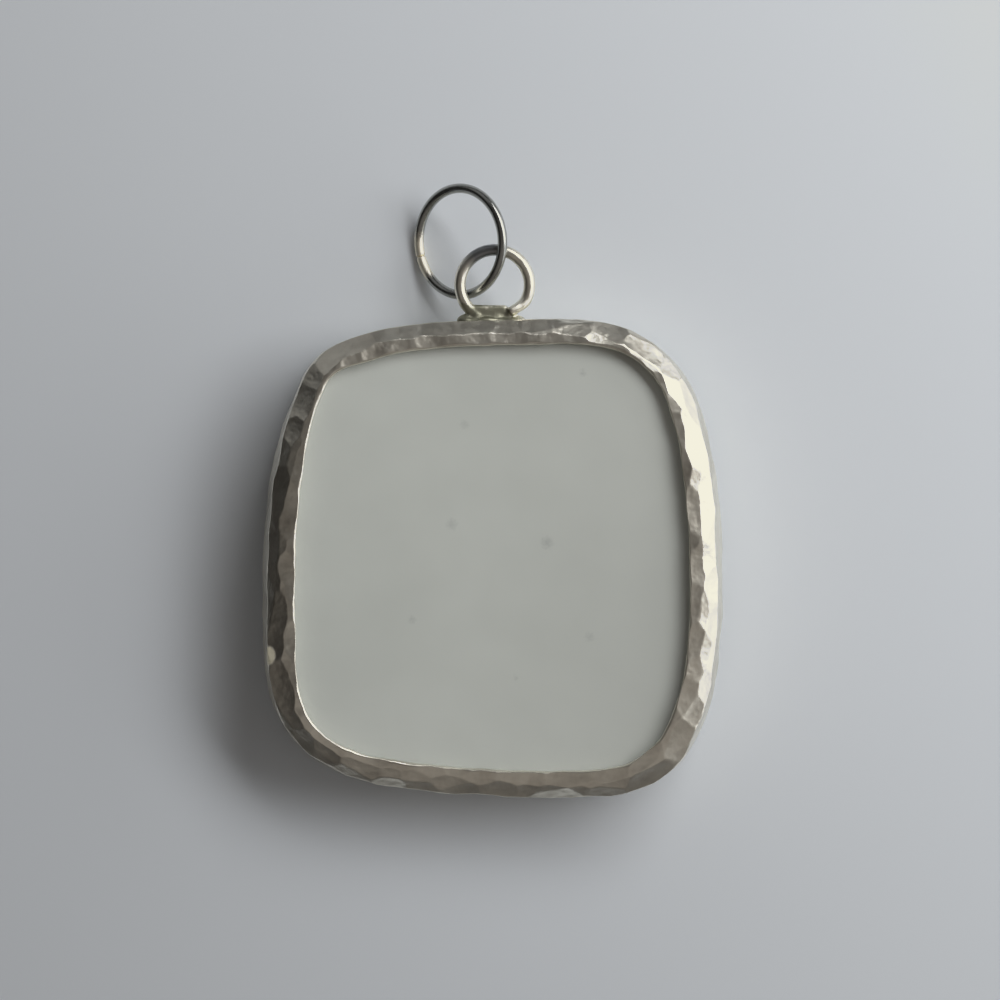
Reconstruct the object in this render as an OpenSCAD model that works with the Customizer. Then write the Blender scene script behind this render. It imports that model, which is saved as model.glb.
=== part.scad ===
// Pendant made from a piece of glazed pottery in a folded silver frame, lying with its hollow side up.
// X runs across the frame, Y towards the rings and Z up. The underside of the frame touches z = 0.

/* [Shard] */
// Radius of the vessel wall that the piece was broken from, which both the piece and the frame follow
vessel_r = 95; // [80:1:150]
// Gap between the pottery and the silver
shard_gap = 0.06; // [0.03:0.01:0.1]

/* [Frame] */
// Height of the frame from its lower lip to its upper lip
frame_h = 5.2; // [4.6:0.1:6]
// Thickness of the silver strip
metal_t = 0.5; // [0.4:0.05:0.6]
// How far the outer wall swells past its two folds
wall_swell = 0.6; // [0.3:0.05:0.8]
// Radius of the fold between the wall and each lip
fold_r = 0.45; // [0.3:0.05:0.6]
// How much thinner a lip is at its inner edge, where it was rubbed down onto the pottery
lip_drop = 0.2; // [0.1:0.05:0.25]

/* [Soldered loop] */
// Radius of the loop to the middle of its wire
loop_r = 2.45; // [2.35:0.05:2.6]
// Diameter of the loop's wire
loop_wire = 0.84; // [0.75:0.01:0.9]
// Height of the loop's centre above the ground
loop_z = 3.9; // [3.8:0.05:3.95]
// How far the loop's free end tips up, in degrees
loop_tip = 3; // [0:0.5:3.5]
// How deep the loop's wire is sunk into the outer wall
loop_sink = 0.2; // [0.15:0.05:0.3]
// Radius of the solder that fills the corner between the loop and the wall
solder_r = 0.48; // [0.4:0.01:0.5]

/* [Jump ring] */
// Radius of the jump ring to the middle of its wire
ring_r = 3.77; // [3.7:0.01:3.85]
// Diameter of the jump ring's wire
ring_wire = 0.67; // [0.6:0.01:0.7]
// Lean of the jump ring from lying flat, in degrees
ring_lean = 38; // [37:0.5:40]
// Turn of the leaning side away from the X axis, in degrees
ring_turn = 9; // [5:0.5:12]

/* [Hidden] */

// Names of the columns in the outline table
X = 0;
Y = 1;
LIP = 2;

// Outline of the frame before it is curved, anticlockwise from the right side: the outermost point
// of the wall, and how far the lip reaches in from there
OUTLINE = [
    [16.2, -1.5, 2.05], [15.9, 4.5, 2.05], [14.9, 9.8, 1.9],
    [13.3, 13.4, 1.75], [10.4, 15.9, 1.75],
    [6.5, 16.9, 1.85], [1.0, 16.9, 1.85], [-4.5, 16.7, 1.9], [-9.0, 15.95, 2.0],
    [-12.5, 14.3, 1.75], [-14.3, 11.0, 1.65],
    [-15.6, 6.5, 1.95], [-16.15, 1.0, 2.0], [-16.25, -4.5, 2.05], [-15.8, -9.5, 1.95],
    [-13.9, -13.0, 1.8], [-10.5, -15.2, 1.95],
    [-6.0, -16.2, 2.0], [-0.5, -16.65, 2.0], [5.0, -16.8, 2.0], [9.8, -16.4, 2.1],
    [13.2, -14.4, 2.2], [15.2, -10.7, 2.15], [16.0, -6.3, 2.05]
];
// Steps of the smooth curve between two rows of the outline
STEPS = 4;

half_h = frame_h / 2;
// Height of a lip's inner face above the middle of the frame
seat_v = half_h - metal_t;
// Angle of the fold at which the swelling wall begins
FOLD_START = 25;
wall_v = half_h - fold_r * (1 - sin(FOLD_START));

// Place of the jump ring, whose lowest point lies on the ground
RING_X = -2.33;
RING_Y = 22.52;
ring_z = ring_r * sin(ring_lean) + ring_wire / 2;

// Place of the soldered loop on the outline's upper side
LOOP_X = 0.12;
LOOP_WALL_Y = 16.7;
loop_y = LOOP_WALL_Y - loop_sink + loop_wire / 2 + loop_r;

// A point of the smooth closed curve through the rows, t of the way from row i to the next
function row(i) = OUTLINE[(i + len(OUTLINE)) % len(OUTLINE)];
function curve(i, t) =
    let (a = row(i - 1), b = row(i), c = row(i + 1), d = row(i + 2))
    (2 * b + (c - a) * t + (2 * a - 5 * b + 4 * c - d) * pow(t, 2) + (3 * b - a - 3 * c + d) * pow(t, 3)) / 2;

STATIONS = [for (i = [0:len(OUTLINE) - 1], s = [0:STEPS - 1]) curve(i, s / STEPS)];
COUNT = len(STATIONS);
function station(k) = STATIONS[(k + COUNT) % COUNT];

// Outward direction of the outline at a station
function outward(k) =
    let (ahead = station(k + 1) - station(k - 1), run = norm([ahead[X], ahead[Y]]))
    [ahead[Y], -ahead[X]] / run;

// A flat point with height v above the frame's middle, moved onto the vessel's curve
function bend(x, y, v) =
    let (turn = x / vessel_r * 180 / PI, reach = vessel_r - v)
    [reach * sin(turn), y, vessel_r + half_h - reach * cos(turn)];
function place(k, u, v) =
    let (at = station(k), out = outward(k))
    bend(at[X] + out[X] * u, at[Y] + out[Y] * u, v);

// Swell of the wall at height v, as the distance in from its outermost point
function swell(v) = wall_swell * pow(v / wall_v, 2);

// Upper half of the strip's outer face, from the lip's inner edge to the wall
function outer_half(lip) = concat(
    [
        [-lip, seat_v],
        [-lip, half_h - lip_drop - metal_t * 0.25],
        [-lip + metal_t * 0.25, half_h - lip_drop],
        [-(lip + wall_swell + fold_r) / 2, half_h - lip_drop * 0.35]
    ],
    [
        for (a = [90, 68, 46, FOLD_START])
            [
                -wall_swell + fold_r * (cos(a) - cos(FOLD_START)),
                half_h - fold_r * (1 - sin(a))
            ]
    ],
    [[-swell(wall_v / 2), wall_v / 2]]
);
// Inner face of the strip, from the lower corner to the upper one
CHANNEL = [for (v = [-1, -0.5, 0, 0.5, 1] * seat_v) [-metal_t - swell(v), v]];
function flip(points) = [for (i = [len(points) - 1:-1:0]) [points[i][0], -points[i][1]]];
function section(lip) = concat(outer_half(lip), [[0, 0]], flip(outer_half(lip)), CHANNEL);

// Triangles between ring a and ring b of a mesh whose rings have n points each
function band(a, b, n) = [
    for (i = [0:n - 1])
        let (j = (i + 1) % n)
        each [[a * n + i, b * n + i, b * n + j], [a * n + i, b * n + j, a * n + j]]
];

BEZEL_SIDES = len(section(1));
BEZEL_POINTS = [for (k = [0:COUNT - 1]) each [for (p = section(station(k)[LIP])) place(k, p[0], p[1])]];

// The model is moved so that the middle of its box's underside is the origin
ring_reach = ring_r * sqrt(1 - pow(sin(ring_lean) * sin(ring_turn), 2)) + ring_wire / 2;
bezel_x = [for (p = BEZEL_POINTS) p[X]];
bezel_y = [for (p = BEZEL_POINTS) p[Y]];
centre_x = (min(bezel_x) + max(bezel_x)) / 2;
centre_y = (min(bezel_y) + RING_Y + ring_reach) / 2;

module in_frame() {
    translate([-centre_x, -centre_y, 0]) children();
}

module wire_ring(radius, wire) {
    rotate_extrude($fn = 96) translate([radius, 0]) circle(d = wire, $fn = 32);
}

module strip() {
    polyhedron(
        points = BEZEL_POINTS,
        faces = [for (k = [0:COUNT - 1]) each band(k, (k + 1) % COUNT, BEZEL_SIDES)],
        convexity = 6
    );
}

// Ball of solder at x and y from the loop's lowest point on the wall, dz above the loop's centre
module solder_ball(x, y, dz) {
    translate([LOOP_X + x, LOOP_WALL_Y + y, loop_z + dz]) sphere(r = solder_r, $fn = 28);
}

module solder() {
    hull() {
        solder_ball(-1.55, 0.78, -0.12);
        solder_ball(0.75, 0.78, -0.12);
        solder_ball(-2.1, 0.08, -0.2);
        solder_ball(1.75, 0.08, -0.2);
    }
}

// Folded silver strip with the loop soldered to its upper side
module bezel() {
    color("#a9a79c") in_frame() {
        strip();
        solder();
        translate([LOOP_X, loop_y, loop_z]) rotate([loop_tip, 0, 0]) wire_ring(loop_r, loop_wire);
    }
}

// Heights and scales of the rings of points that make the pottery's skin, from the middle of its
// lower face round the edge to the middle of its upper face
face_v = seat_v - shard_gap;
FACE_SCALES = [0.25, 0.5, 0.75];
EDGE = [-1, -0.5, 0, 0.5, 1] * face_v;
function edge_point(k, v) =
    let (at = station(k), out = outward(k), u = -metal_t - shard_gap - swell(v))
    [at[X] + out[X] * u, at[Y] + out[Y] * u];
function skin_ring(scale, v) = [
    for (k = [0:COUNT - 1])
        let (p = edge_point(k, v) * scale)
        bend(p[X], p[Y], v)
];
SKIN = concat(
    [for (s = FACE_SCALES) skin_ring(s, -face_v)],
    [for (v = EDGE) skin_ring(1, v)],
    [for (i = [len(FACE_SCALES) - 1:-1:0]) skin_ring(FACE_SCALES[i], face_v)]
);

// Piece of pottery with ground edges, held in the frame's channel
module shard() {
    last = len(SKIN) - 1;
    low_pole = len(SKIN) * COUNT;
    high_pole = low_pole + 1;
    color("#cfd3cd") in_frame() polyhedron(
        points = concat([for (ring = SKIN) each ring], [bend(0, 0, -face_v), bend(0, 0, face_v)]),
        faces = concat(
            [for (r = [0:last - 1]) each band(r, r + 1, COUNT)],
            [for (i = [0:COUNT - 1]) [low_pole, i, (i + 1) % COUNT]],
            [for (i = [0:COUNT - 1]) [high_pole, last * COUNT + (i + 1) % COUNT, last * COUNT + i]]
        ),
        convexity = 4
    );
}

// Loose ring that hangs in the soldered loop and leans on its free end
module jump_ring() {
    color("#a5a49b") in_frame()
        translate([RING_X, RING_Y, ring_z])
            rotate([0, -ring_lean, ring_turn])
                wire_ring(ring_r, ring_wire);
}

bezel();
shard();
jump_ring();
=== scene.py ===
"""Pottery shard pendant: the looks of a piece of glazed pottery in a hammered silver frame.

Lengths are in millimetres, as in the part's source, until finish_piece() turns a mesh to metres.
"""

import math
import random

import bmesh
import bpy
import numpy as np
from mathutils import Matrix, Vector, noise


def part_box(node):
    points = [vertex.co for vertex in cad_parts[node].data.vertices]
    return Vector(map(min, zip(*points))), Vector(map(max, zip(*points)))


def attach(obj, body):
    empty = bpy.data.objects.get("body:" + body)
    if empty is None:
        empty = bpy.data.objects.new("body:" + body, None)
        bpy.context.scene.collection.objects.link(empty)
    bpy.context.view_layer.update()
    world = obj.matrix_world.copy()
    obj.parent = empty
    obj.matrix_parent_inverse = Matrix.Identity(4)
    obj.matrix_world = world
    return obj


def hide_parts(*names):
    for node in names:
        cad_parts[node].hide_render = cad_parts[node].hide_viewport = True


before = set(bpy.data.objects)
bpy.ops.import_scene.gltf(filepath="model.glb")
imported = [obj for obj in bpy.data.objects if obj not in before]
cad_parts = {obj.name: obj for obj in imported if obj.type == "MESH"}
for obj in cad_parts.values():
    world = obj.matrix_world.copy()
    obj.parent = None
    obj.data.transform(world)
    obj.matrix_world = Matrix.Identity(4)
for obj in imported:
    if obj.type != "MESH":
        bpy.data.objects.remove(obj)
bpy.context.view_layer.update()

MM = 0.001

# Sizes of the pendant, as in the part's source
VESSEL_R = 95.0
SHARD_GAP = 0.06
FRAME_H = 5.2
METAL_T = 0.5
WALL_SWELL = 0.6
FOLD_R = 0.45
LOOP_R = 2.45
LOOP_WIRE = 0.84
LOOP_Z = 3.9
LOOP_TIP = math.radians(3)
LOOP_SINK = 0.2
LOOP_X = 0.12
LOOP_WALL_Y = 16.7
LOOP_Y = LOOP_WALL_Y - LOOP_SINK + LOOP_WIRE / 2 + LOOP_R
RING_R = 3.77
RING_WIRE = 0.67
RING_LEAN = math.radians(38)
RING_TURN = math.radians(9)
RING_X = -2.33
RING_Y = 22.52

HALF_H = FRAME_H / 2
SEAT_V = HALF_H - METAL_T
FOLD_START = math.radians(25)
WALL_V = HALF_H - FOLD_R * (1 - math.sin(FOLD_START))

# Outline of the frame before it is curved, anticlockwise from the right side: the outermost point
# of the wall, and how far the lip reaches in from there
OUTLINE = np.array([
    [16.2, -1.5, 2.05], [15.9, 4.5, 2.05], [14.9, 9.8, 1.9],
    [13.3, 13.4, 1.75], [10.4, 15.9, 1.75],
    [6.5, 16.9, 1.85], [1.0, 16.9, 1.85], [-4.5, 16.7, 1.9], [-9.0, 15.95, 2.0],
    [-12.5, 14.3, 1.75], [-14.3, 11.0, 1.65],
    [-15.6, 6.5, 1.95], [-16.15, 1.0, 2.0], [-16.25, -4.5, 2.05], [-15.8, -9.5, 1.95],
    [-13.9, -13.0, 1.8], [-10.5, -15.2, 1.95],
    [-6.0, -16.2, 2.0], [-0.5, -16.65, 2.0], [5.0, -16.8, 2.0], [9.8, -16.4, 2.1],
    [13.2, -14.4, 2.2], [15.2, -10.7, 2.15], [16.0, -6.3, 2.05],
])
ROWS = len(OUTLINE)


def outline(turn):
    """Rows x, y and lip of the smooth closed curve, at a share of the whole way round."""
    place = np.mod(turn, 1.0) * ROWS
    i = np.floor(place).astype(int)
    t = (place - i)[..., None]
    a, b, c, d = (OUTLINE[(i + k) % ROWS] for k in (-1, 0, 1, 2))
    return (2 * b + (c - a) * t + (2 * a - 5 * b + 4 * c - d) * t**2 + (3 * b - a - 3 * c + d) * t**3) / 2


def outward(turn):
    step = 1e-4
    ahead = (outline(turn + step) - outline(turn - step))[..., :2]
    ahead /= np.linalg.norm(ahead, axis=-1, keepdims=True)
    return np.stack([ahead[..., 1], -ahead[..., 0]], axis=-1)


def bend(x, y, v):
    """Flat places at height v above the frame's middle, moved onto the vessel's curve."""
    reach = VESSEL_R - v
    turn = x / VESSEL_R
    return np.stack([reach * np.sin(turn), y, VESSEL_R + HALF_H - reach * np.cos(turn)], axis=-1)


def swell(v):
    return WALL_SWELL * (v / WALL_V) ** 2


def find_shift():
    """The move from the outline's own places to the row frame, from the bezel's box in the CAD."""
    low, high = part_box("bezel")
    turn = np.linspace(0, 1, 2000, endpoint=False)
    flat = outline(turn)
    rim = bend(flat[:, 0], flat[:, 1], np.zeros(len(turn)))
    middle = (rim[:, 0].min() + rim[:, 0].max()) / 2
    return Vector(((low.x + high.x) / 2 / MM - middle, low.y / MM - rim[:, 1].min(), 0))


SHIFT = find_shift()


# Mesh helpers

# Points of a mesh that lie closer than this are merged
MERGE = 1e-5


def finish_piece(bm, name, material, node):
    """Makes a piece from a mesh in millimetres and lets it stand for its CAD node."""
    bmesh.ops.recalc_face_normals(bm, faces=bm.faces)
    bm.transform(Matrix.Scale(MM, 4) @ Matrix.Translation(SHIFT))
    mesh = bpy.data.meshes.new(name)
    bm.to_mesh(mesh)
    bm.free()
    mesh.shade_smooth()
    piece = bpy.data.objects.new(name, mesh)
    bpy.context.scene.collection.objects.link(piece)
    mesh.materials.append(material)
    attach(piece, "root")
    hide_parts(node)


def chain(bm, points):
    """Vertices in the XZ plane, joined in order."""
    verts = [bm.verts.new((x, 0, z)) for x, z in points]
    edges = [bm.edges.new(pair) for pair in zip(verts, verts[1:])]
    return verts + edges


def spin_full(bm, geometry, steps):
    bmesh.ops.spin(
        bm, geom=geometry, cent=(0, 0, 0), axis=(0, 0, 1), angle=math.tau, steps=steps,
        use_merge=True, use_duplicate=False,
    )
    bmesh.ops.remove_doubles(bm, verts=bm.verts, dist=MERGE)


def read_points(bm):
    return np.array([v.co for v in bm.verts])


def write_points(bm, points):
    for vert, point in zip(bm.verts, points):
        vert.co = point


# Hammered frame

# The strip starts as a flat grid with a column for each station round the rim, and is rolled into a ring
STATIONS = 960
# How steeply each lip falls outward from its inner edge. The lower one was rubbed down onto the pottery.
UPPER_SLOPE = 0.2
LOWER_SLOPE = -0.12
# How much the upper lip's slope falls along the calm stretch beside the loop, and rises on the right side
CALM_FALL = 0.11
RIGHT_RISE = 0.03
# Middle and reach of the calm stretch, which was struck gently, and the right side's reach, as shares of
# the way round
CALM_TURN = 7.2 / ROWS
CALM_REACH = 0.07
RIGHT_REACH = 0.08
# Height of each lip's outer edge above or below the frame's middle, where the struck bevel begins
UPPER_CREST = 2.68
LOWER_CREST = HALF_H
# How steeply the bevel falls, and how far in from the outermost point it begins and ends
BEVEL_SLOPE = 0.76
BEVEL_START = 0.98
BEVEL_END = 0.05
# Corners of the outline as shares of the way round, how much further in the bevel begins there, where the
# strip puckered, and the reach of that
CORNERS = [4.0 / ROWS, 9.6 / ROWS, 15.4 / ROWS, 21.2 / ROWS]
PUCKER = 0.2
PUCKER_REACH = 0.045

# Way along the rim, in millimetres, at close shares of the way round
RIM_TURN = np.linspace(0, 1, 2401)
RIM_STEPS = np.linalg.norm(np.diff(outline(RIM_TURN)[:, :2], axis=0), axis=1)
RIM_WAY = np.concatenate([[0], np.cumsum(RIM_STEPS)])
RIM_LENGTH = RIM_WAY[-1]

# Waves in a lip's edge: how deep, how many to a millimetre, and where in the noise they are taken from.
# They fade out over this length at the start of the rim, where its two ends meet.
WAVES = [(0.07, 0.42, 0.3), (0.03, 1.3, 5.3)]
WAVES_FADE = 4

# Rounded corners of half a section: which of its corners, how far from it the rounding starts, and the
# steps along the straight stretch before it and round it
ROUNDINGS = [(1, 0.26, 1, 7), (2, 0.18, 8, 6), (3, 0.14, 9, 5)]
# Steps from the last rounding to mid-wall
WALL_STEPS = 8
# How far the lower corner of a lip's inner edge lies above the channel that holds the pottery
LIP_LIFT = 0.02
# Heights of the channel's points, as shares of its half height
CHANNEL = [-1, -0.6, 0, 0.6, 1]


def bump(turn, middle, reach):
    """1 at a share of the way round, falling smoothly to 0 on both sides of it."""
    away = np.mod(turn - middle + 0.5, 1.0) - 0.5
    return np.exp(-((away / reach) ** 2))


def bevel_reach(turn):
    """How far in from the outermost point the struck bevel begins."""
    return BEVEL_START + PUCKER * sum(bump(turn, corner, PUCKER_REACH) for corner in CORNERS)


def force(turn):
    """How hard the frame was struck: 1 in most places and 0 in the middle of the calm stretch."""
    return 1 - bump(turn, CALM_TURN, CALM_REACH)


def upper_slope(turn):
    right = bump(turn, 0.0, RIGHT_REACH)
    return UPPER_SLOPE - CALM_FALL * (1 - force(turn)) + RIGHT_RISE * right


def lip_reach(turn):
    """How far in a lip reaches, with the small waves that the hammer left in its edge."""
    way = np.interp(turn, RIM_TURN, RIM_WAY)
    waves = sum(
        depth * np.array([noise.noise(Vector((w * often, row, 0))) for w in way])
        for depth, often, row in WAVES
    )
    return outline(turn)[:, 2] + waves * np.clip(np.minimum(way, RIM_LENGTH - way) / WAVES_FADE, 0, 1)


def half_section(lip, reach, slope, crest):
    """Places u and v of the skin from a lip's inner edge, over the lip and the struck bevel, to mid-wall."""
    lip, reach = lip[:, None], reach[:, None]
    flat = 0 * lip
    slope = flat + np.reshape(slope, (-1, 1))
    corners = [
        np.concatenate([-lip, flat + SEAT_V + LIP_LIFT], axis=1),
        np.concatenate([-lip, crest + slope * (lip - reach)], axis=1),
        np.concatenate([-reach, flat + crest], axis=1),
        np.concatenate([flat - BEVEL_END, crest - BEVEL_SLOPE * (reach - BEVEL_END)], axis=1),
        np.concatenate([flat, flat], axis=1),
    ]
    parts = [corners[0][:, None]]
    last = corners[0]
    for i, rounding, straight_steps, round_steps in ROUNDINGS:
        before, here, after = corners[i - 1], corners[i], corners[i + 1]
        come = (here - before) / np.linalg.norm(here - before, axis=1, keepdims=True)
        leave = (after - here) / np.linalg.norm(after - here, axis=1, keepdims=True)
        first = here - come * rounding
        final = here + leave * rounding
        share = np.linspace(0, 1, straight_steps + 1)[1:, None]
        parts.append(last[:, None] + (first - last)[:, None] * share)
        t = np.linspace(0, 1, round_steps + 1)[1:, None]
        a, b, c = first[:, None], here[:, None], final[:, None]
        parts.append((1 - t) ** 2 * a + 2 * t * (1 - t) * b + t**2 * c)
        last = final
    share = np.linspace(0, 1, WALL_STEPS + 1)[1:-1, None]
    parts.append(last[:, None] + (corners[4] - last)[:, None] * share)
    skin = np.concatenate(parts, axis=1)
    return skin[..., 0], skin[..., 1]


def strip_section(turn, lip, reach):
    """Places u and v of the strip's skin, and how many of its points lie on the outside.

    They run round the outside from the upper lip to the lower one, and back up the channel.
    """
    upper_u, upper_v = half_section(lip, reach, upper_slope(turn), UPPER_CREST)
    lower_u, lower_v = half_section(lip, reach, LOWER_SLOPE, LOWER_CREST)
    middle = 0 * lip[:, None]
    channel_v = np.array([CHANNEL]) * SEAT_V + middle
    u = np.concatenate([upper_u, middle, lower_u[:, ::-1], -METAL_T - swell(channel_v)], axis=1)
    v = np.concatenate([upper_v, middle, -lower_v[:, ::-1], channel_v], axis=1)
    return u, v, 2 * upper_u.shape[1] + 1


# Rows of hammer blows: how far round the skin from the upper lip's inner edge, the spacing along the rim,
# the depth, the radius of the blow's face across the strip, and how far it leans at most, in degrees
BLOWS = [
    (1.1, 2.2, 0.045, 22, 7),
    (1.55, 1.9, 0.07, 16, 7),
    (2.45, 1.8, 0.07, 16, 11),
    (3.7, 2.2, 0.05, 12, 7),
    (4.7, 2.2, 0.05, 12, 7),
    (5.7, 2.2, 0.05, 12, 7),
    (6.7, 2.2, 0.05, 12, 7),
    (7.6, 1.8, 0.07, 16, 11),
    (8.4, 1.9, 0.07, 16, 7),
    (8.9, 2.2, 0.045, 22, 7),
]
BLOW_SEED = 11
# How far along the rim from its middle a blow can reach
BLOW_END = 4.2
# How far a blow strays along the rim, as a share of the spacing, and across it
STRAY_ALONG = 0.3
STRAY_ACROSS = 0.15
# Least and most of a blow's depth, as shares of its row's, and of its radius along the rim
DEPTH_SHARES = (0.5, 1.3)
LONG_R = (7, 15)
# Most that a blow tips along the rim, as a slope, and most that it may cut away
TWIST = 0.1
DEEPEST = 0.3


def hammer(u, v, way):
    """Flattens the skin where blows fell. Each cuts a shallow dish, and a later one cuts into the earlier."""
    rng = random.Random(BLOW_SEED)
    blows = []
    for reach, spacing, depth, wide_r, lean in BLOWS:
        count = round(RIM_LENGTH / spacing)
        start = rng.uniform(0, spacing)
        for i in range(count):
            at = (start + (i + rng.uniform(-STRAY_ALONG, STRAY_ALONG)) * spacing) % RIM_LENGTH
            across = reach + rng.uniform(-STRAY_ACROSS, STRAY_ACROSS)
            blows.append((at, across, depth * rng.uniform(*DEPTH_SHARES), wide_r, lean))
    rng.shuffle(blows)
    plain_u, plain_v = u.copy(), v.copy()
    for at, reach, depth, wide_r, most_lean in blows:
        # The blow falls on point j of the nearest station, square to the skin there but for its lean
        along = (way - at + RIM_LENGTH / 2) % RIM_LENGTH - RIM_LENGTH / 2
        near = np.nonzero(np.abs(along) < BLOW_END)[0]
        here = near[np.argmin(np.abs(along[near]))]
        skin = np.cumsum(np.hypot(np.diff(plain_u[here]), np.diff(plain_v[here])))
        j = min(max(int(np.searchsorted(skin, reach)), 1), len(skin) - 1)
        step_u = plain_u[here, j + 1] - plain_u[here, j - 1]
        step_v = plain_v[here, j + 1] - plain_v[here, j - 1]
        hard = force(here / STATIONS)
        lean = math.atan2(step_u, -step_v) + math.radians(rng.uniform(-1, 1) * most_lean) * hard
        out_u, out_v = math.cos(lean), math.sin(lean)
        from_u, from_v = u[near] - plain_u[here, j], v[near] - plain_v[here, j]
        height = from_u * out_u + from_v * out_v
        across = from_v * out_u - from_u * out_v
        long_r = rng.uniform(*LONG_R)
        twist = rng.uniform(-TWIST, TWIST) * hard
        run = along[near][:, None]
        dish = run**2 / (2 * long_r) + across**2 / (2 * wide_r) + run * twist - depth
        cut = np.clip(height - dish, 0, DEEPEST)
        u[near] -= cut * out_u
        v[near] -= cut * out_v


def make_strip(material):
    turn = np.arange(STATIONS) / STATIONS
    lip, reach = lip_reach(turn), bevel_reach(turn)
    u, v, outer = strip_section(turn, lip, reach)
    worked_u, worked_v = u[:, :outer].copy(), v[:, :outer].copy()
    hammer(worked_u, worked_v, np.interp(turn, RIM_TURN, RIM_WAY))
    u[:, :outer], v[:, :outer] = worked_u, worked_v
    points = u.shape[1]

    bm = bmesh.new()
    bmesh.ops.create_grid(bm, x_segments=STATIONS, y_segments=points, size=1)
    grid = (read_points(bm)[:, :2] + 1) / 2
    station = np.round(grid[:, 0] * STATIONS).astype(int) % STATIONS
    point = np.round(grid[:, 1] * points).astype(int) % points

    place = outline(turn)[:, None, :2] + outward(turn)[:, None] * u[..., None]
    skin = bend(place[..., 0], place[..., 1], v)
    write_points(bm, skin[station, point])
    bmesh.ops.remove_doubles(bm, verts=bm.verts, dist=MERGE)
    finish_piece(bm, "hammered_frame", material, "bezel")


# Soldered loop and jump ring

# Sides of a wire, and how far its end narrows and moves on in each step of its small dome
WIRE_SIDES = 24
DOME = [(0.9, 0.03), (0.7, 0.05), (0.35, 0.03)]
# Where the jump ring is cut open, in degrees round it from its raised side. Its wire starts just past
# there and leaves this much open, in radians.
RING_CUT = 186.5
RING_START = 0.012
RING_OPEN = 0.05


def wire_ring(bm, radius, wire, start, sweep, steps):
    """An open ring of round wire in the XY plane, with its two ends closed by small domes."""
    made = bmesh.ops.create_circle(bm, cap_ends=False, radius=wire / 2, segments=WIRE_SIDES)
    verts = made["verts"]
    bmesh.ops.rotate(bm, verts=verts, cent=(0, 0, 0), matrix=Matrix.Rotation(math.pi / 2, 3, "X"))
    bmesh.ops.translate(bm, verts=verts, vec=(radius, 0, 0))
    bmesh.ops.rotate(bm, verts=verts, cent=(0, 0, 0), matrix=Matrix.Rotation(start, 3, "Z"))
    first = list({e for v in verts for e in v.link_edges})
    spun = bmesh.ops.spin(
        bm, geom=verts + first, cent=(0, 0, 0), axis=(0, 0, 1), angle=sweep, steps=steps,
        use_merge=False, use_duplicate=False,
    )
    last = [g for g in spun["geom_last"] if isinstance(g, bmesh.types.BMEdge)]
    for loop, angle, way in ((first, start, -1), (last, start + sweep, 1)):
        ahead = Vector((-math.sin(angle), math.cos(angle), 0)) * way
        edges = loop
        for share, advance in DOME:
            grown = bmesh.ops.extrude_edge_only(bm, edges=edges)["geom"]
            ring = [g for g in grown if isinstance(g, bmesh.types.BMVert)]
            edges = [g for g in grown if isinstance(g, bmesh.types.BMEdge)]
            middle = sum((v.co for v in ring), Vector()) / len(ring)
            reach = max((v.co - middle).length for v in ring)
            bmesh.ops.scale(
                bm, verts=ring, vec=(share * wire / 2 / reach,) * 3, space=Matrix.Translation(-middle),
            )
            bmesh.ops.translate(bm, verts=ring, vec=ahead * advance)
        bmesh.ops.edgeloop_fill(bm, edges=edges)


def make_jump_ring(material):
    bm = bmesh.new()
    cut = math.radians(RING_CUT)
    wire_ring(bm, RING_R, RING_WIRE, cut + RING_START, math.tau - RING_OPEN, steps=192)
    turn = Matrix.Rotation(RING_TURN, 4, "Z") @ Matrix.Rotation(-RING_LEAN, 4, "Y")
    height = RING_R * math.sin(RING_LEAN) + RING_WIRE / 2
    bm.transform(Matrix.Translation((RING_X, RING_Y, height)) @ turn)
    finish_piece(bm, "jump_ring_wire", material, "jump_ring")


def remesh(bm, name, voxel, smooth_steps):
    """One skin round everything in the mesh, with its creases softened."""
    mesh = bpy.data.meshes.new(name)
    bm.to_mesh(mesh)
    bm.free()
    lump = bpy.data.objects.new(name, mesh)
    bpy.context.scene.collection.objects.link(lump)
    skin = lump.modifiers.new("skin", "REMESH")
    skin.mode = "VOXEL"
    skin.voxel_size = voxel
    soften = lump.modifiers.new("soften", "SMOOTH")
    soften.factor = 0.5
    soften.iterations = smooth_steps
    made = bmesh.new()
    made.from_object(lump, bpy.context.evaluated_depsgraph_get())
    bpy.data.objects.remove(lump)
    bpy.data.meshes.remove(mesh)
    return made


# Solder between the loop and the wall, as blocks and lumps: x and y from the loop's lowest point on
# the wall, z above the loop's centre, then half width, half depth and half height
SOLDER_BLOCKS = [
    (-0.5, 0.6, -0.12, 1.46, 0.66, 0.38),
    (-0.2, 0.0, 0.08, 2.1, 0.34, 0.42),
]
SOLDER_LUMPS = [
    (-1.85, 0.14, -0.06, 0.85, 0.5, 0.44),
    (1.3, 0.14, -0.1, 0.9, 0.46, 0.42),
    (-1.25, 0.42, 0.1, 0.5, 0.42, 0.26),
    (0.15, 0.34, 0.1, 0.7, 0.4, 0.22),
    (-0.6, 0.05, 0.34, 0.9, 0.3, 0.26),
    (1.0, 0.0, 0.32, 0.6, 0.28, 0.26),
    (1.0, 0.62, -0.04, 0.42, 0.46, 0.36),
]
BLOCK_ROUNDING = 0.24
# How far from the wall the solder ends, over what length it thins out there, how uneven it cooled, and
# how many of these waves there are to a millimetre
SOLDER_END = 1.5
SOLDER_THINS = 0.6
SOLDER_UNEVEN = 0.05
SOLDER_WAVES = 0.9
# Where the loop's free end is and where its bend begins, in degrees from the loop's right side, how far
# the end is bent in and up, and the angle between it and the wire's other end, which the solder hides
LOOP_END = -60.0
BEND_START = -22.0
END_IN = 0.26
END_UP = 0.3
LOOP_OPEN = 14.0


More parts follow.
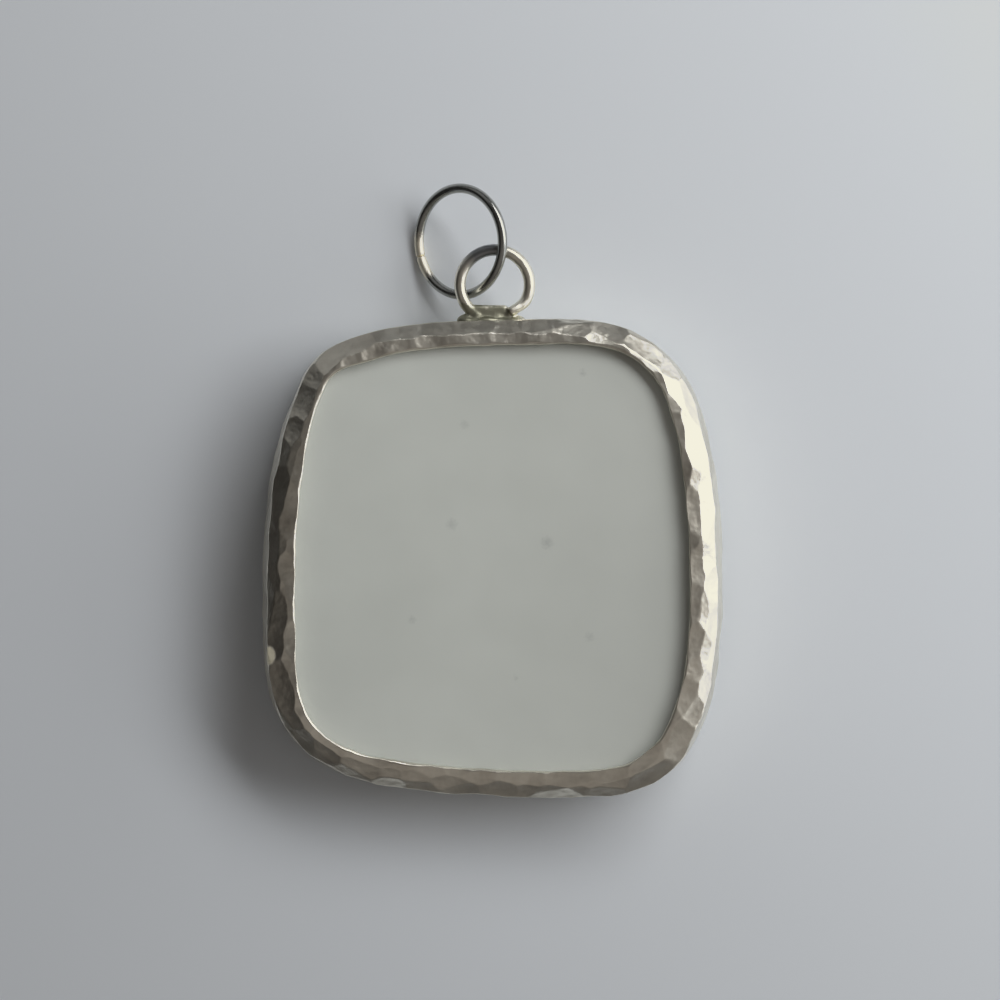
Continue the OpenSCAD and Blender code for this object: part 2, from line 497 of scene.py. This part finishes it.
def solder_shape(x, y, z, half_x, half_y, half_z):
    """The matrix that makes a block or a lump of solder from a cube or ball of radius 1."""
    place = Matrix.Translation((LOOP_X + x, LOOP_WALL_Y + y, LOOP_Z + z))
    return place @ Matrix.Diagonal((half_x, half_y, half_z, 1))


def make_loop(material):
    bm = bmesh.new()
    wire_ring(bm, LOOP_R, LOOP_WIRE, math.radians(LOOP_END), math.tau - math.radians(LOOP_OPEN), steps=144)
    wire = read_points(bm)
    angle = np.degrees(np.arctan2(wire[:, 1], wire[:, 0]))
    bent = np.clip((BEND_START - angle) / (BEND_START - LOOP_END), 0, 1) * (angle > LOOP_END - LOOP_OPEN / 2)
    bent = bent**2 * (3 - 2 * bent)
    wire[:, :2] *= (1 - END_IN / LOOP_R * bent)[:, None]
    wire[:, 2] += END_UP * bent
    write_points(bm, wire)
    bm.transform(Matrix.Translation((LOOP_X, LOOP_Y, LOOP_Z)) @ Matrix.Rotation(LOOP_TIP, 4, "X"))
    for row in SOLDER_BLOCKS:
        block = bmesh.ops.create_cube(bm, size=2, matrix=solder_shape(*row))
        edges = list({e for v in block["verts"] for e in v.link_edges})
        bmesh.ops.bevel(
            bm, geom=edges, offset=BLOCK_ROUNDING, segments=3, profile=0.5, affect="EDGES", material=-1,
        )
    for row in SOLDER_LUMPS:
        bmesh.ops.create_icosphere(bm, subdivisions=4, radius=1, matrix=solder_shape(*row))
    bm = remesh(bm, "loop_lump", voxel=0.045, smooth_steps=34)
    bm.normal_update()
    for vert in bm.verts:
        low = min(max((LOOP_WALL_Y + SOLDER_END - vert.co.y) / SOLDER_THINS, 0), 1)
        vert.co += vert.normal * SOLDER_UNEVEN * low * noise.fractal(vert.co * SOLDER_WAVES, 1.0, 2.0, 2)
    finish_piece(bm, "soldered_loop", material, "bezel")


# Piece of pottery

# Radius of the round plate that is spun before it takes the outline's shape
SPUN_R = 12.0
# Rings of points on each face, as shares of that radius
FACE_SHARES = np.concatenate([[0, 0.02], np.linspace(0.06, 0.98, 30)])
# Rings of points up the edge, and points round each ring
EDGE_RINGS = 9
RING_POINTS = 288
# How far each face dips on average, how many of its uneven waves there are to a millimetre across and
# along it, and how fast they fade out towards the lips
FACE_UNEVEN = 0.05
FACE_WAVES = (0.11, 0.16)
FACE_FADE = 6


def make_shard(material):
    face_v = SEAT_V - SHARD_GAP
    top = [(share * SPUN_R, face_v) for share in FACE_SHARES]
    edge = [(SPUN_R, v) for v in np.linspace(face_v, -face_v, EDGE_RINGS)]
    bottom = [(x, -z) for x, z in reversed(top)]
    bm = bmesh.new()
    spin_full(bm, chain(bm, top + edge + bottom), steps=RING_POINTS)
    spun = read_points(bm)
    turn = np.mod(np.arctan2(spun[:, 1], spun[:, 0]) / math.tau, 1.0)
    share = np.hypot(spun[:, 0], spun[:, 1]) / SPUN_R
    v = spun[:, 2]
    flat = outline(turn)[:, :2] + outward(turn) * (-METAL_T - SHARD_GAP - swell(v))[:, None]
    place = flat * share[:, None]
    # The faces dip a little unevenly, except under the lips
    waves = [Vector((x * FACE_WAVES[0], y * FACE_WAVES[1], 3.1)) for x, y in place]
    uneven = np.array([noise.fractal(at, 1.0, 2.0, 2) for at in waves])
    inside = np.clip((1 - share) * FACE_FADE, 0, 1) * (np.abs(v) > face_v - 1e-4)
    v = v - FACE_UNEVEN * (1 + uneven) * np.sign(v) * inside
    write_points(bm, bend(place[:, 0], place[:, 1], v))
    finish_piece(bm, "glazed_shard", material, "shard")


# Materials

# Sockets of a Mix node that mixes colours: its share, its two colours and what it gives
SHARE = 0
FIRST = 6
SECOND = 7
MIXED = 2


def linear(hex_colour):
    """An sRGB hex colour as linear red, green, blue and alpha."""
    parts = [int(hex_colour[i:i + 2], 16) / 255 for i in (1, 3, 5)]
    return (*[c / 12.92 if c <= 0.04045 else ((c + 0.055) / 1.055) ** 2.4 for c in parts], 1.0)


def add_node(tree, kind, inputs=None, output=0, **settings):
    """Adds a node with its settings, and returns the output that is asked for.

    Each input is a value, a hex colour, or the output that it is linked from.
    """
    node = tree.nodes.new("ShaderNode" + kind)
    for key, value in settings.items():
        setattr(node, key, value)
    for key, value in (inputs or {}).items():
        if isinstance(value, bpy.types.NodeSocket):
            tree.links.new(value, node.inputs[key])
        else:
            node.inputs[key].default_value = linear(value) if isinstance(value, str) else value
    return node.outputs[output]


def new_material(name):
    """A material with its node tree, its surface shader and the place on the piece in millimetres."""
    material = bpy.data.materials.new(name)
    material.use_nodes = True
    tree = material.node_tree
    place = add_node(tree, "TexCoord", output="Object")
    mm = add_node(tree, "Mapping", {"Vector": place, "Scale": (1 / MM,) * 3})
    return material, tree, tree.nodes["Principled BSDF"], mm


def worked_silver():
    """Sterling silver, hammered and rubbed: bright and faintly warm, with a thin grey film in patches."""
    material, tree, surface, mm = new_material("hammered sterling silver")
    # Patches of film, about 3 mm across
    patches = add_node(tree, "TexNoise", {"Vector": mm, "Scale": 0.35, "Detail": 5.0, "Roughness": 0.6})
    film_and_shade = add_node(tree, "MapRange", {"Value": patches, "From Min": 0.42, "From Max": 0.75})
    colour = add_node(tree, "Mix", {
        SHARE: film_and_shade, FIRST: "#f3efe2", SECOND: "#cdc7ba",
    }, MIXED, data_type="RGBA")
    # Rubbing left the polish uneven, in patches of 0.6 mm
    rubbed = add_node(tree, "TexNoise", {"Vector": mm, "Scale": 1.6, "Detail": 4.0, "Roughness": 0.6})
    rough = add_node(tree, "MapRange", {
        "Value": rubbed, "From Min": 0.3, "From Max": 0.7, "To Min": 0.28, "To Max": 0.34,
    })
    # A painted highlight on the wall's left side: a pale, dull patch about 1.3 mm long
    highlight_spot = Vector((-15.6, -6.65, 5.75)) + SHIFT
    from_highlight_spot = add_node(tree, "VectorMath", {0: mm, 1: highlight_spot}, operation="SUBTRACT")
    reach = add_node(tree, "VectorMath", {0: from_highlight_spot, 1: (2.0, 1.5, 1.1)}, operation="MULTIPLY")
    away = add_node(tree, "VectorMath", {0: reach}, "Value", operation="LENGTH")
    painted_highlight = add_node(tree, "MapRange", {
        "Value": away, "From Min": 0.85, "From Max": 1.15, "To Min": 1.0, "To Max": 0.0,
    })
    colour = add_node(tree, "Mix", {
        SHARE: painted_highlight, FIRST: colour, SECOND: "#fffbea",
    }, MIXED, data_type="RGBA")
    rough = add_node(tree, "Mix", {"Factor": painted_highlight, "A": rough, "B": 0.8})
    tree.links.new(colour, surface.inputs["Base Color"])
    tree.links.new(rough, surface.inputs["Roughness"])
    # Light marks of the planishing hammer, 0.5 mm across
    marks = add_node(tree, "TexNoise", {"Vector": mm, "Scale": 1.8, "Detail": 1.0, "Roughness": 0.5})
    planished = add_node(tree, "Bump", {"Height": marks, "Strength": 1.0, "Distance": 0.03 * MM})
    # The metal's grain, drawn at 0.15 mm, which is coarser than the real one, so that it shows
    grain = add_node(tree, "TexNoise", {"Vector": mm, "Scale": 7.0, "Detail": 1.0, "Roughness": 0.5})
    relief = add_node(tree, "Bump", {
        "Height": grain, "Strength": 0.12, "Distance": 0.02 * MM, "Normal": planished,
    })
    tree.links.new(relief, surface.inputs["Normal"])
    surface.inputs["Metallic"].default_value = 1.0
    return material


def soldered_silver():
    """Silver wire, softly polished by wear, which turns to dull grey-green hard solder at the frame."""
    material, tree, surface, mm = new_material("silver wire with hard solder")
    # Wear and the solder's edge wander over about 0.5 mm
    uneven = add_node(tree, "TexNoise", {"Vector": mm, "Scale": 1.8, "Detail": 3.0, "Roughness": 0.55})
    edge = add_node(tree, "MapRange", {
        "Value": uneven, "From Min": 0.3, "From Max": 0.7, "To Min": -0.3, "To Max": 0.3,
    })
    # The solder stops lower at the wire's free end
    middle = LOOP_X + SHIFT.x
    side = add_node(tree, "SeparateXYZ", {"Vector": mm}, "X")
    drop = add_node(tree, "MapRange", {
        "Value": side, "From Min": middle + 0.7, "From Max": middle + 1.1, "To Min": 0.0, "To Max": 0.85,
    })
    height = add_node(tree, "SeparateXYZ", {"Vector": mm}, "Y")
    height = add_node(tree, "Math", {0: height, 1: edge}, operation="ADD")
    height = add_node(tree, "Math", {0: height, 1: drop}, operation="ADD")
    line = LOOP_WALL_Y + 1.3 + SHIFT.y
    solder = add_node(tree, "MapRange", {
        "Value": height, "From Min": line - 0.2, "From Max": line + 0.2, "To Min": 1.0, "To Max": 0.0,
    })
    # Painted shade: the loop's far side is greyed where the jump ring lies over it
    shaded_arc = Vector((LOOP_X - 0.75, LOOP_Y + 2.33, LOOP_Z)) + SHIFT
    away = add_node(tree, "VectorMath", {0: mm, 1: shaded_arc}, "Value", operation="DISTANCE")
    film_and_shade = add_node(tree, "MapRange", {
        "Value": away, "From Min": 0.9, "From Max": 2.2, "To Min": 1.0, "To Max": 0.0,
    })
    bare_and_shaded = add_node(tree, "Mix", {
        SHARE: film_and_shade, FIRST: "#f3efe0", SECOND: "#8f9193",
    }, MIXED, data_type="RGBA")
    colour = add_node(tree, "Mix", {
        SHARE: solder, FIRST: bare_and_shaded, SECOND: "#a3a28f",
    }, MIXED, data_type="RGBA")
    tree.links.new(colour, surface.inputs["Base Color"])
    worn = add_node(tree, "MapRange", {
        "Value": uneven, "From Min": 0.3, "From Max": 0.7, "To Min": 0.29, "To Max": 0.35,
    })
    rough = add_node(tree, "Mix", {"Factor": solder, "A": worn, "B": 0.42})
    tree.links.new(rough, surface.inputs["Roughness"])
    # Fine pits of 0.3 mm, left by the torch
    pits = add_node(tree, "TexNoise", {"Vector": mm, "Scale": 3.2, "Detail": 2.0, "Roughness": 0.55})
    relief = add_node(tree, "Bump", {"Height": pits, "Strength": 0.5, "Distance": 0.03 * MM})
    tree.links.new(relief, surface.inputs["Normal"])
    surface.inputs["Metallic"].default_value = 1.0
    return material


def drawn_silver_wire():
    """Drawn sterling silver wire: dulled to grey by tarnish, and still pale at the ends that were handled."""
    material, tree, surface, mm = new_material("tarnished sterling silver wire")
    low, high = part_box("jump_ring")
    cut = math.radians(RING_CUT)
    ends = Vector((RING_R * math.cos(cut), RING_R * math.sin(cut), 0))
    ends.rotate(Matrix.Rotation(RING_TURN, 3, "Z") @ Matrix.Rotation(-RING_LEAN, 3, "Y"))
    ends += (low + high) / 2 / MM
    away = add_node(tree, "VectorMath", {0: mm, 1: ends}, "Value", operation="DISTANCE")
    # The tarnish begins unevenly, in steps of about 1 mm
    uneven = add_node(tree, "TexNoise", {"Vector": mm, "Scale": 1.1, "Detail": 4.0, "Roughness": 0.55})
    edge = add_node(tree, "MapRange", {
        "Value": uneven, "From Min": 0.3, "From Max": 0.7, "To Min": -0.8, "To Max": 0.8,
    })
    spread = add_node(tree, "Math", {0: away, 1: edge}, operation="ADD")
    film_and_shade = add_node(tree, "MapRange", {"Value": spread, "From Min": 1.2, "From Max": 2.4})
    colour = add_node(tree, "Mix", {
        SHARE: film_and_shade, FIRST: "#fbf4e2", SECOND: "#a5a6a2",
    }, MIXED, data_type="RGBA")
    rough = add_node(tree, "MapRange", {
        "Value": spread, "From Min": 0.9, "From Max": 2.0, "To Min": 0.5, "To Max": 0.26,
    })
    tree.links.new(colour, surface.inputs["Base Color"])
    tree.links.new(rough, surface.inputs["Roughness"])
    surface.inputs["Metallic"].default_value = 1.0
    return material


# Specks in the glaze: x and y in the outline's own millimetres, how far each reaches and how dark it is
SPECKS = [
    (6.3, 13.1, 0.34, 0.26),
    (-2.0, 9.5, 0.4, 0.22),
    (-2.9, 2.5, 0.5, 0.25),
    (3.8, 1.2, 0.55, 0.3),
    (-5.7, -4.2, 0.36, 0.26),
    (6.8, -5.4, 0.45, 0.22),
    (1.6, -8.3, 0.25, 0.25),
    (8.2, 4.4, 0.22, 0.22),
]


def worn_tin_glaze():
    """Old off-white glaze on earthenware: a soft grey-green white, faintly mottled, with grey specks."""
    material, tree, surface, mm = new_material("worn tin glaze")
    # Mottling about 8 mm across, and painted shade that darkens the glaze towards the left
    mottle = add_node(tree, "TexNoise", {"Vector": mm, "Scale": 0.12, "Detail": 3.0, "Roughness": 0.5})
    cloud = add_node(tree, "MapRange", {"Value": mottle, "From Min": 0.35, "From Max": 0.65})
    shaded_left = add_node(tree, "Mix", {
        SHARE: cloud, FIRST: "#c6cac4", SECOND: "#c1c5bf",
    }, MIXED, data_type="RGBA")
    lit_right = add_node(tree, "Mix", {
        SHARE: cloud, FIRST: "#dbdfd9", SECOND: "#d6dad4",
    }, MIXED, data_type="RGBA")
    side = add_node(tree, "SeparateXYZ", {"Vector": mm}, "X")
    across = add_node(tree, "MapRange", {"Value": side, "From Min": -12.0, "From Max": 12.0})
    colour = add_node(tree, "Mix", {
        SHARE: across, FIRST: shaded_left, SECOND: lit_right,
    }, MIXED, data_type="RGBA")
    # Specks with ragged edges, in steps of 0.2 mm
    rag = add_node(tree, "TexNoise", {"Vector": mm, "Scale": 5.0, "Detail": 3.0, "Roughness": 0.55})
    rag = add_node(tree, "MapRange", {
        "Value": rag, "From Min": 0.3, "From Max": 0.7, "To Min": -0.12, "To Max": 0.12,
    })
    for x, y, reach, depth in SPECKS:
        middle = Vector((x, y, HALF_H + SEAT_V)) + SHIFT
        away = add_node(tree, "VectorMath", {0: mm, 1: middle}, "Value", operation="DISTANCE")
        away = add_node(tree, "Math", {0: away, 1: rag}, operation="ADD")
        speck = add_node(tree, "MapRange", {
            "Value": away, "From Min": 0.02, "From Max": reach, "To Min": depth, "To Max": 0.0,
        })
        colour = add_node(tree, "Mix", {
            SHARE: speck, FIRST: colour, SECOND: "#858b8a",
        }, MIXED, data_type="RGBA")
    tree.links.new(colour, surface.inputs["Base Color"])
    # The gloss is worn in patches of about 1 mm
    wear = add_node(tree, "TexNoise", {"Vector": mm, "Scale": 0.8, "Detail": 5.0, "Roughness": 0.6})
    rough = add_node(tree, "MapRange", {
        "Value": wear, "From Min": 0.3, "From Max": 0.7, "To Min": 0.38, "To Max": 0.48,
    })
    tree.links.new(rough, surface.inputs["Roughness"])
    # The glaze's skin, drawn at 0.4 mm, which is coarser than the real one, so that it shows
    skin = add_node(tree, "TexNoise", {"Vector": mm, "Scale": 2.5, "Detail": 3.0, "Roughness": 0.55})
    relief = add_node(tree, "Bump", {"Height": skin, "Strength": 0.12, "Distance": 0.03 * MM})
    tree.links.new(relief, surface.inputs["Normal"])
    return material


# Light, floor and camera

# How far the camera is above the frame's upper lip, and how much of that plane it sees
CAMERA_RISE = 190.0
VIEW_WIDTH = 70.0
SENSOR_WIDTH = 36
# Place of the middle of the view, in the outline's own millimetres
VIEW_X = 0.49
VIEW_Y = 4.2
# Way to the palest part of the ceiling
GLOW_WAY = (0.15, -0.45, 0.88)


def make_camera():
    data = bpy.data.cameras.new("camera")
    data.sensor_width = SENSOR_WIDTH
    data.lens = SENSOR_WIDTH * CAMERA_RISE / VIEW_WIDTH
    data.clip_start = 0.01
    camera = bpy.data.objects.new("camera", data)
    camera.location = (Vector((VIEW_X, VIEW_Y, FRAME_H + CAMERA_RISE)) + SHIFT) * MM
    bpy.context.scene.collection.objects.link(camera)
    bpy.context.scene.camera = camera


def add_panel(name, azimuth, elevation, distance, width, height, power):
    """A soft white panel aimed at the pendant. Azimuth is anticlockwise from the right side, in degrees."""
    data = bpy.data.lights.new(name, "AREA")
    data.shape = "RECTANGLE"
    data.size = width
    data.size_y = height
    data.energy = power
    lamp = bpy.data.objects.new(name, data)
    a, e = math.radians(azimuth), math.radians(elevation)
    way = Vector((math.cos(a) * math.cos(e), math.sin(a) * math.cos(e), math.sin(e)))
    lamp.location = way * distance
    lamp.rotation_euler = way.to_track_quat("Z", "Y").to_euler()
    bpy.context.scene.collection.objects.link(lamp)


def make_world():
    """A dark room, palest overhead and a little towards the pendant's lower end."""
    world = bpy.data.worlds.new("room")
    world.use_nodes = True
    tree = world.node_tree
    background = tree.nodes["Background"]
    way = add_node(tree, "TexCoord", output="Generated")
    facing = add_node(tree, "VectorMath", {0: way, 1: GLOW_WAY}, "Value", operation="DOT_PRODUCT")
    glow = add_node(tree, "MapRange", {
        "Value": facing, "From Min": 0.42, "From Max": 1.0, "To Min": 0.015, "To Max": 0.23,
    }, interpolation_type="SMOOTHSTEP")
    # The middle of the ceiling is darker, because the camera hides it
    rise = add_node(tree, "SeparateXYZ", {"Vector": way}, "Z")
    shade = add_node(tree, "MapRange", {
        "Value": rise, "From Min": 0.945, "From Max": 0.985, "To Min": 1.0, "To Max": 0.3,
    })
    strength = add_node(tree, "Math", {0: glow, 1: shade}, operation="MULTIPLY")
    tree.links.new(strength, background.inputs["Strength"])
    background.inputs["Color"].default_value = linear("#fff6ee")
    bpy.context.scene.world = world


def make_floor():
    bm = bmesh.new()
    bmesh.ops.create_grid(bm, x_segments=1, y_segments=1, size=1.5)
    mesh = bpy.data.meshes.new("floor")
    bm.to_mesh(mesh)
    bm.free()
    floor = bpy.data.objects.new("floor", mesh)
    bpy.context.scene.collection.objects.link(floor)
    material, _, surface, _ = new_material("pale floor")
    surface.inputs["Base Color"].default_value = linear("#dde2e7")
    surface.inputs["Roughness"].default_value = 0.8
    mesh.materials.append(material)


# Tones: the brightest light that is told apart, where the shoulder begins, how bright it gets in red,
# green and blue, its points as shares of the way to the brightest, and how fast it bends
BRIGHTEST = 4.0
SHOULDER = 0.62
TOPS = (0.9, 0.875, 0.73)
SHOULDER_SHARES = (0.0, 0.08, 0.2, 0.45)
SHOULDER_BEND = 6


def set_tones():
    """Plain tones, with a soft creamy shoulder for what is brighter than white, as a camera gives it."""
    settings = bpy.context.scene.view_settings
    settings.view_transform = "Standard"
    settings.use_curve_mapping = True
    tones = settings.curve_mapping
    tones.white_level = (BRIGHTEST,) * 3
    for channel, top in enumerate(TOPS):
        curve = tones.curves[channel]
        for share in SHOULDER_SHARES:
            level = SHOULDER + (BRIGHTEST - SHOULDER) * share
            value = SHOULDER + (top - SHOULDER) * (1 - (1 - share) ** SHOULDER_BEND)
            point = curve.points.new(level / BRIGHTEST, value)
            point.handle_type = "VECTOR"
        curve.points[-1].location = (1.0, top)
        curve.points[-1].handle_type = "VECTOR"
        curve.points[0].handle_type = "VECTOR"
    tones.update()


# The pendant, then its surroundings

make_strip(worked_silver())
make_loop(soldered_silver())
make_jump_ring(drawn_silver_wire())
make_shard(worn_tin_glaze())

make_floor()
make_world()
add_panel("window", azimuth=36, elevation=41, distance=0.26, width=0.32, height=0.1, power=0.56)
add_panel("pale wall", azimuth=122, elevation=27, distance=0.35, width=0.3, height=0.22, power=0.05)
add_panel("low window", azimuth=6, elevation=16, distance=0.28, width=0.4, height=0.1, power=0.24)
make_camera()
set_tones()
